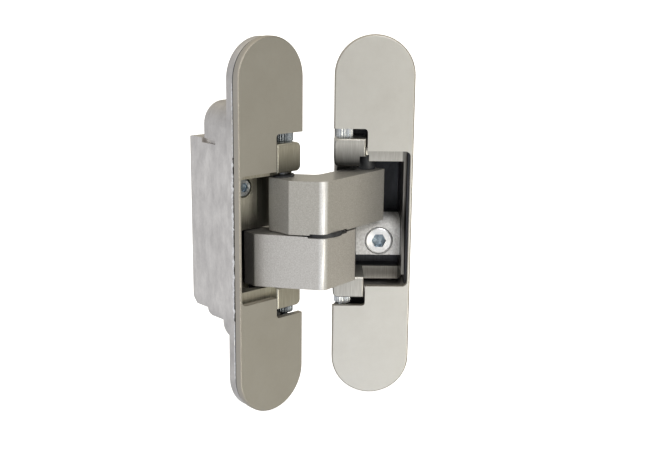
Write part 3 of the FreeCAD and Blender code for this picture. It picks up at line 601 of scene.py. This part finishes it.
def flash(name, body, leaf):
    """Ragged five-sided strips along the flange edge, drawn in the leaf's frame and then placed."""
    origin, turn, flip = leaf

    def place(u, v, z):
        return Vector(origin) + Matrix.Rotation(turn, 3, "Z") @ Vector((flip * u, v, z))

    chance = random.Random(FLASH_SEED)
    mesh = bmesh.new()
    x = FLASH_EDGE_X
    for z, top, y, size in FLASH_RUNS:
        rows = []
        while z < top:
            out = FLASH_OUT[0] + FLASH_OUT[1] * chance.random()
            lip = FLASH_LIP * size * chance.random() ** 4
            back = (FLASH_BACK[0] + FLASH_BACK[1] * chance.random()) * size
            section = ((x + FLASH_ROOT, y), (x + FLASH_CORNER, y - lip), (x - out, y + 0.5 * back),
                       (x - 0.3 * out, y + back), (x + FLASH_ROOT, y + back))
            rows.append([mesh.verts.new(place(u, v, z)) for u, v in section])
            z += FLASH_STEP * (0.6 + 0.8 * chance.random())
        skin_rings(mesh, rows)
    piece = add_piece(name, mesh, torn)
    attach(piece, body)


flash("left_casting_flash", "left_leaf", LEFT_LEAF)
flash("right_casting_flash", "right_leaf", RIGHT_LEAF)


# Studio: a white table that fills the view, and a soft surround, bright on the left and warm and dim on
# the right. Five soft boxes stand in it: one low in front, two on the right, a narrow one ahead and one
# overhead. A small lamp in front picks out the corners.
FLOOR_SIZE = 80
FLOOR_DROP = 0.002
bpy.ops.mesh.primitive_plane_add(size=FLOOR_SIZE, location=(0, 0, cad_box[0].z - FLOOR_DROP))
floor = bpy.context.object
floor.name = "floor"
table, tree, shader, coords = start_material("white_table", 0.0, 0.9)
shader.inputs["Base Color"].default_value = linear("#F4F4F4")
shader.inputs["Emission Color"].default_value = linear("#FFFFFF")
shader.inputs["Emission Strength"].default_value = 0.9
floor.data.materials.append(table)
floor.visible_glossy = False
floor.visible_diffuse = False

BRIGHT_SIDE = (-0.70, 0.41, -0.58)
# Each soft box: the way to its middle, the cosines of its core and of its rim, and its strength.
SOFT_BOXES = (((-0.55, -0.68, -0.48), 0.99, 0.90, 0.49),
              ((0.80, -0.57, -0.20), 0.93, 0.70, 0.12),
              ((0.95, -0.29, -0.10), 0.97, 0.84, 0.15),
              ((-0.12, -0.945, -0.30), 0.985, 0.955, 3.6),
              ((0.0, 0.0, 1.0), 0.80, 0.50, 0.60))
world = bpy.data.worlds.new("studio")
world.use_nodes = True
tree = world.node_tree
coords = add_node(tree, "ShaderNodeTexCoord", {}, {})
toward = add_node(tree, "ShaderNodeVectorMath", {"operation": "DOT_PRODUCT", 1: BRIGHT_SIDE},
                  {0: (coords, "Generated")})
total = add_node(tree, "ShaderNodeMapRange",
                 {"From Min": -1.0, "From Max": 1.0, "To Min": 0.15, "To Max": 0.85},
                 {"Value": (toward, "Value")})
tint = add_node(tree, "ShaderNodeValToRGB", {"stops": ((0.4, "#FFF8E8"), (0.66, "#FBFCFF"))},
                {"Fac": (total, "Result")})
for middle, core, rim, strength in SOFT_BOXES:
    nearness = add_node(tree, "ShaderNodeVectorMath", {"operation": "DOT_PRODUCT", 1: middle},
                        {0: (coords, "Generated")})
    soft_box = add_node(tree, "ShaderNodeMapRange", {"From Min": rim, "From Max": core, "To Max": strength},
                        {"Value": (nearness, "Value")})
    total = add_node(tree, "ShaderNodeMath", {"operation": "ADD"}, {0: (soft_box, "Result"), 1: (total, 0)})
feed(tree, tree.nodes["Background"], {"Strength": (total, 0), "Color": (tint, "Color")})
bpy.context.scene.world = world
bpy.context.scene.view_settings.view_transform = "Standard"

LAMP_PLACE = Vector((-0.135, -0.395, 0.275))
LAMP_AIM = Vector((0.03, -0.01, 0.0))
lamp = bpy.data.lights.new("front_lamp", "AREA")
lamp.size = 0.15
lamp.energy = 0.75
front_lamp = bpy.data.objects.new("front_lamp", lamp)
bpy.context.scene.collection.objects.link(front_lamp)
front_lamp.location = LAMP_PLACE
front_lamp.rotation_euler = (LAMP_AIM - LAMP_PLACE).to_track_quat("-Z", "Y").to_euler()


# Camera: at the photograph's place, to the left of the opened hinge and looking down on it a little,
# with the angle of view to which both leaves' outlines fit.
CAMERA_PLACE = (-0.17681, -0.22085, 0.0669)
turn, pitch, roll = math.radians(42.5), math.radians(13.15), math.radians(0.54)
right = Vector((math.cos(turn), -math.sin(turn), 0))
forward = Vector((math.sin(turn) * math.cos(pitch), math.cos(turn) * math.cos(pitch), -math.sin(pitch)))
up = Vector((math.sin(turn) * math.sin(pitch), math.cos(turn) * math.sin(pitch), math.cos(pitch)))
rolled_right = math.cos(roll) * right + math.sin(roll) * up
rolled_up = math.cos(roll) * up - math.sin(roll) * right
lens = bpy.data.cameras.new("camera")
lens.sensor_width = 36
lens.lens = 55.385
lens.clip_start = 0.01
camera = bpy.data.objects.new("camera", lens)
bpy.context.scene.collection.objects.link(camera)
facing = Matrix((rolled_right, rolled_up, -forward)).transposed().to_4x4()
camera.matrix_world = Matrix.Translation(CAMERA_PLACE) @ facing
bpy.context.scene.camera = camera
